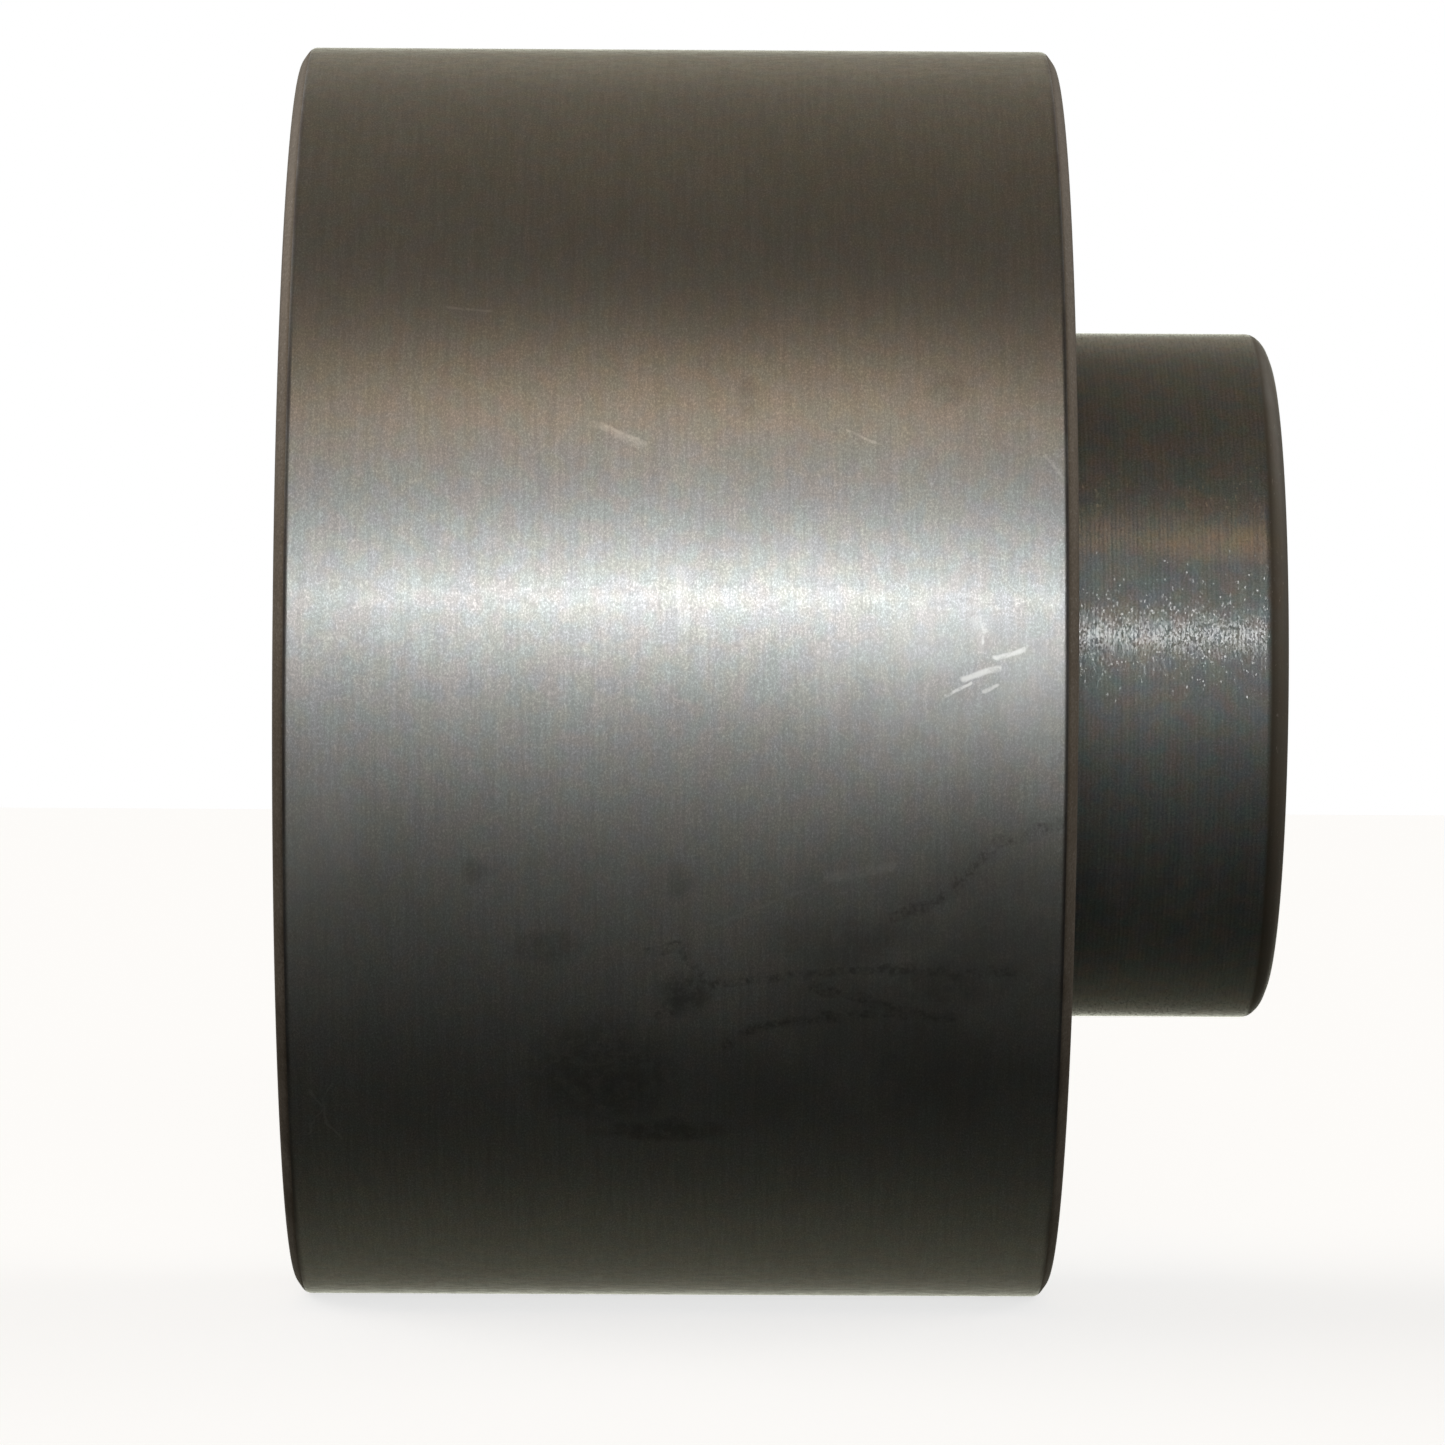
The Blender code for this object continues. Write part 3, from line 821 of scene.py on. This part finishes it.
def make_end_plate(row, side, boss_end, plate):
    """A faced washer with a flange inside and a boss that the seal's lip runs on."""
    chance = random.Random(SEED + 2 + side)
    plain = Finish(0)
    faced = Finish(0, 0.16 * MM, 0.003 * MM)
    small = 0.35 * MM
    crisp = 0.05 * MM
    seat = HUB_RADIUS + PRESS_GAP
    corners = [
        (FLANGE_INNER, seat, 0, plain),
        (FLANGE_INNER, FLANGE_RADIUS, crisp, plain),
        (FLANGE_OUTER, FLANGE_RADIUS, crisp, plain),
        (FLANGE_OUTER, BOSS_RADIUS, 0, plain),
        (boss_end - small, BOSS_RADIUS, crisp, plain),
        (boss_end, BOSS_RADIUS - small, crisp, faced),
        (boss_end, seat + small, crisp, plain),
        (boss_end - small, seat, crisp, plain),
    ]
    outline = on_side(profile(corners, chance), side)
    piece = turn_outline(f"end_plate_{row}_faced", outline, [plate])
    finish_piece(piece, "inner_assembly", "plate_steel", f"end_plate_{row}")


def make_seal(row, side, rubber):
    """A moulded lip seal: a seat, a dished and ribbed face, and a lip that runs on the boss."""
    seat = SEAL_SEAT_RADIUS - PRESS_GAP
    heel = seat - 1.8 * MM
    web_face = SEAL_OUTER - 0.9 * MM
    lip = BOSS_RADIUS + 0.08 * MM
    lip_back = SEAL_INNER + 0.6 * MM
    lip_root = lip + 1.2 * MM
    lip_tip = lip + 0.5 * MM
    outline = [
        (SEAL_INNER, seat, 0),
        (SEAL_INNER, heel, 0),
        (web_face, heel, 0),
        (web_face, lip_root, 0),
        (lip_back, lip_tip, 0),
        (lip_back, lip, 0),
        (web_face, lip, 0),
    ]
    outline.extend(seal_face(lip + 0.9 * MM, seat - 0.25 * MM))
    outline.append((SEAL_OUTER - 0.3 * MM, seat, 0))
    outline = on_side(outline, side)
    piece = turn_outline(f"seal_{row}_moulded", outline, [rubber], sharp=math.radians(35))
    finish_piece(piece, "outer_assembly", "seal_rubber", f"seal_{row}")


def seal_face(start, end):
    """The points of a seal's outer face between two radii: a shallow dish with ribs in it."""
    steps = 60
    dish_depth = 0.34 * MM
    rib_height = 0.10 * MM
    rib_waves = 6 * math.pi
    for step in range(steps + 1):
        share = step / steps
        dish = dish_depth * math.sin(math.pi * share) ** 2
        rib = rib_height * max(0.0, math.cos(rib_waves * share))
        yield (SEAL_OUTER - dish + rib - rib_height, start + share * (end - start), 0)


def make_cage(row, side, steel):
    """A window cage with one pocket for each roller, its corners broken."""
    wall_inner = 2 * PITCH_RADIUS - CAGE_BOX[1].z
    wall_outer = CAGE_BOX[1].z
    small = 0.2 * MM
    low, high = CAGE_BOX[0].y, CAGE_BOX[1].y
    outline = [
        (low, wall_inner + small, 0),
        (low, wall_outer - small, 0),
        (low + small, wall_outer, 0),
        (high - small, wall_outer, 0),
        (high, wall_outer - small, 0),
        (high, wall_inner + small, 0),
        (high - small, wall_inner, 0),
        (low + small, wall_inner, 0),
    ]
    outline = on_side(outline, side)
    cage = turn_outline(f"cage_{row}_machined", outline, [steel], CAGE_SEGMENTS)
    cut_and_apply(cage, pocket_cutter(side))
    finish_piece(cage, f"cage_{row}", "cage_steel", f"cage_{row}")


def roller_mesh(steel):
    """A bearing roller about its own axis, with rounded rims and slightly hollow ends."""
    half = ROLLER_LENGTH / 2
    rim = 0.3 * MM
    dimple = 0.05 * MM
    dimple_radius = 0.5 * ROLLER_RADIUS
    steps = 5
    end = [
        (half - rim * (1 - math.sin(a)), ROLLER_RADIUS - rim * (1 - math.cos(a)))
        for a in (math.pi / 2 * step / steps for step in range(steps + 1))
    ]
    outline = end + [(half - dimple, dimple_radius)]
    bm = bmesh.new()
    rings = []
    for y, radius in [(-y, radius) for y, radius in reversed(outline)] + outline:
        angles = [2 * math.pi * k / ROLLER_SEGMENTS for k in range(ROLLER_SEGMENTS)]
        rings.append([bm.verts.new((radius * math.sin(a), y, radius * math.cos(a))) for a in angles])
    for low, high in zip(rings, rings[1:]):
        bmesh.ops.bridge_loops(bm, edges=ring_edges(bm, low) + ring_edges(bm, high))
    for ring in (rings[0], rings[-1]):
        bm.faces.new(ring)
    bmesh.ops.recalc_face_normals(bm, faces=bm.faces)
    mesh = bpy.data.meshes.new("bearing_roller")
    bm.to_mesh(mesh)
    bm.free()
    mesh.materials.append(steel)
    mesh.shade_smooth()
    mesh.set_sharp_from_angle(angle=math.radians(30))
    return mesh


def ring_edges(bm, ring):
    """The edges round a ring of vertices, made where they are missing."""
    edges = []
    for first, second in zip(ring, ring[1:] + ring[:1]):
        edges.append(bm.edges.get((first, second)) or bm.edges.new((first, second)))
    return edges


def make_rollers(row, side, mesh):
    """One row of bearing rollers, which share a mesh."""
    for index in range(ROLLERS_PER_ROW):
        name = f"roller_{row}_{index + 1:02d}"
        angle = 2 * math.pi * index / ROLLERS_PER_ROW
        piece = bpy.data.objects.new(f"{name}_honed", mesh)
        bpy.context.scene.collection.objects.link(piece)
        piece.matrix_world = place_round(angle, side * ROW_CENTRE, PITCH_RADIUS)
        finish_piece(piece, name, "roller_steel", name)


# ---------------------------------------------------------------- studio


def make_floor():
    """A pale floor that the roller stands on. It throws no light on the roller."""
    reach = 2.0
    glow = 0.72
    bm = bmesh.new()
    bmesh.ops.create_grid(bm, x_segments=8, y_segments=8, size=reach)
    mesh = bpy.data.meshes.new("floor")
    bm.to_mesh(mesh)
    bm.free()
    nodes = Material("pale_floor")
    nodes.set("Base Color", (0.9, 0.9, 0.9, 1.0))
    nodes.set("Roughness", 1.0)
    nodes.set("Specular IOR Level", 0.0)
    nodes.set("Emission Color", (1.0, 1.0, 1.0, 1.0))
    nodes.set("Emission Strength", glow)
    mesh.materials.append(nodes.material)
    floor = bpy.data.objects.new("floor", mesh)
    floor.location.z = -TRACK_RADIUS
    floor.visible_glossy = False
    floor.visible_diffuse = False
    bpy.context.scene.collection.objects.link(floor)


# Lights, as (azimuth round from +X, elevation, half width, colour). Angles are in degrees, and an
# elevation over 90 passes over the top to the far side. The lamp is a bar just above the camera,
# wider than it is tall, and its core is a narrower and brighter bar inside it.
LAMP = [(azimuth, 13, 4, (3.85, 3.95, 3.98)) for azimuth in (-4, 0.5, 5)]
LAMP_CORE = [(azimuth, 13, 1.6, (5.5, 5.5, 5.35)) for azimuth in (-5, -2, 1, 4, 7)]
LIGHTS = [
    *LAMP,
    *LAMP_CORE,
    (0, 47, 5.5, (1.95, 1.32, 0.72)),  # a warm room lamp, higher up
    (0, 36, 8, (0.45, 0.54, 0.60)),
    (0, -7, 13, (0.51, 0.50, 0.475)),
    (0, -42, 20, (0.053, 0.052, 0.043)),
    (0, 112, 22, (0.115, 0.09, 0.058)),
    (0, 150, 14, (0.26, 0.225, 0.165)),
    (0, -134, 22, (0.085, 0.082, 0.058)),
    (0, -158, 12, (0.15, 0.14, 0.11)),
    (180, 0, 11, (1.8, 1.85, 1.55)),  # the lit paper behind the part
    (92, 14, 24, (0.42, 0.40, 0.37)),
    (-92, 26, 26, (0.62, 0.58, 0.53)),
    (135, 28, 16, (0.75, 0.75, 0.75)),
    (-135, 28, 16, (0.9, 0.9, 0.9)),
]
# Faint light from everywhere else. It fades from the top colour to the bottom one between two
# heights, where 1 is straight up and -1 straight down
AMBIENT_TOP = (0.024, 0.020, 0.014)
AMBIENT_BOTTOM = (0.008, 0.008, 0.0075)
AMBIENT_HEIGHTS = (-0.5, 0.9)


def light_lobe(nodes, direction, azimuth, elevation, half_width):
    """A soft light's share in each direction: 1 at its centre, and half at its half width."""
    a, e = math.radians(azimuth), math.radians(elevation)
    toward = (math.cos(e) * math.cos(a), math.cos(e) * math.sin(a), math.sin(e))
    falloff = math.log(2) / (1 - math.cos(math.radians(half_width)))
    closeness = nodes.vector("DOT_PRODUCT", direction, toward, output="Value")
    return nodes.math("EXPONENT", nodes.math("MULTIPLY_ADD", closeness, falloff, -falloff))


def make_world():
    """Soft studio light from all round. The camera itself sees plain white behind the object."""
    world = bpy.data.worlds.new("studio")
    world.use_nodes = True
    world.node_tree.nodes.clear()
    nodes = Nodes(world.node_tree)
    direction = nodes.add("ShaderNodeTexCoord").outputs["Generated"]
    split = nodes.add("ShaderNodeSeparateXYZ", {0: direction})
    height = nodes.range(split.outputs["Z"], *AMBIENT_HEIGHTS)
    total = nodes.colour(height, AMBIENT_BOTTOM, AMBIENT_TOP)
    for *place, colour in LIGHTS:
        lobe = light_lobe(nodes, direction, *place)
        total = nodes.vector("ADD", total, nodes.scaled(colour, lobe))
    light = nodes.add("ShaderNodeBackground", {"Color": total})
    white = nodes.add("ShaderNodeBackground", {"Color": (1.0, 1.0, 1.0, 1.0)})
    from_camera = nodes.add("ShaderNodeLightPath").outputs["Is Camera Ray"]
    inputs = {0: from_camera, 1: light.outputs[0], 2: white.outputs[0]}
    seen = nodes.add("ShaderNodeMixShader", inputs)
    nodes.add("ShaderNodeOutputWorld", {"Surface": seen.outputs[0]})
    bpy.context.scene.world = world


def make_camera():
    """Nearly square to the axis and level with it, with the hub to the right. Angles in degrees."""
    distance = 12.55 * TRACK_RADIUS
    sideways = -0.0074 * TRACK_RADIUS
    height = -0.0687 * TRACK_RADIUS
    swing, tilt, lean = 0.383, -0.052, 0.314
    camera = bpy.data.objects.new("camera", bpy.data.cameras.new("camera"))
    camera.data.sensor_width = 36.0
    camera.data.lens = 194.0
    camera.location = (distance, sideways, height)
    camera.rotation_euler = (
        math.radians(90 + tilt),
        math.radians(-lean),
        math.radians(90 - swing),
    )
    bpy.context.scene.collection.objects.link(camera)
    bpy.context.scene.camera = camera


def main():
    make_camera()
    make_world()
    make_floor()
    bpy.context.scene.view_settings.view_transform = "Standard"

    plate, rubber, cage = plate_material(), rubber_material(), cage_material()
    honed = bearing_roller_material()
    make_outer_ring(ground_track_material(), heat_treated_material())
    make_inner_ring(blackened_hub_material(), bore_material(), honed)
    rollers = roller_mesh(honed)
    for row, side, boss_end in (("plain", -1, PLAIN_END), ("hub", 1, PLATE_HUB_FACE)):
        make_end_plate(row, side, boss_end, plate)
        make_seal(row, side, rubber)
        make_cage(row, side, cage)
        make_rollers(row, side, rollers)


main()
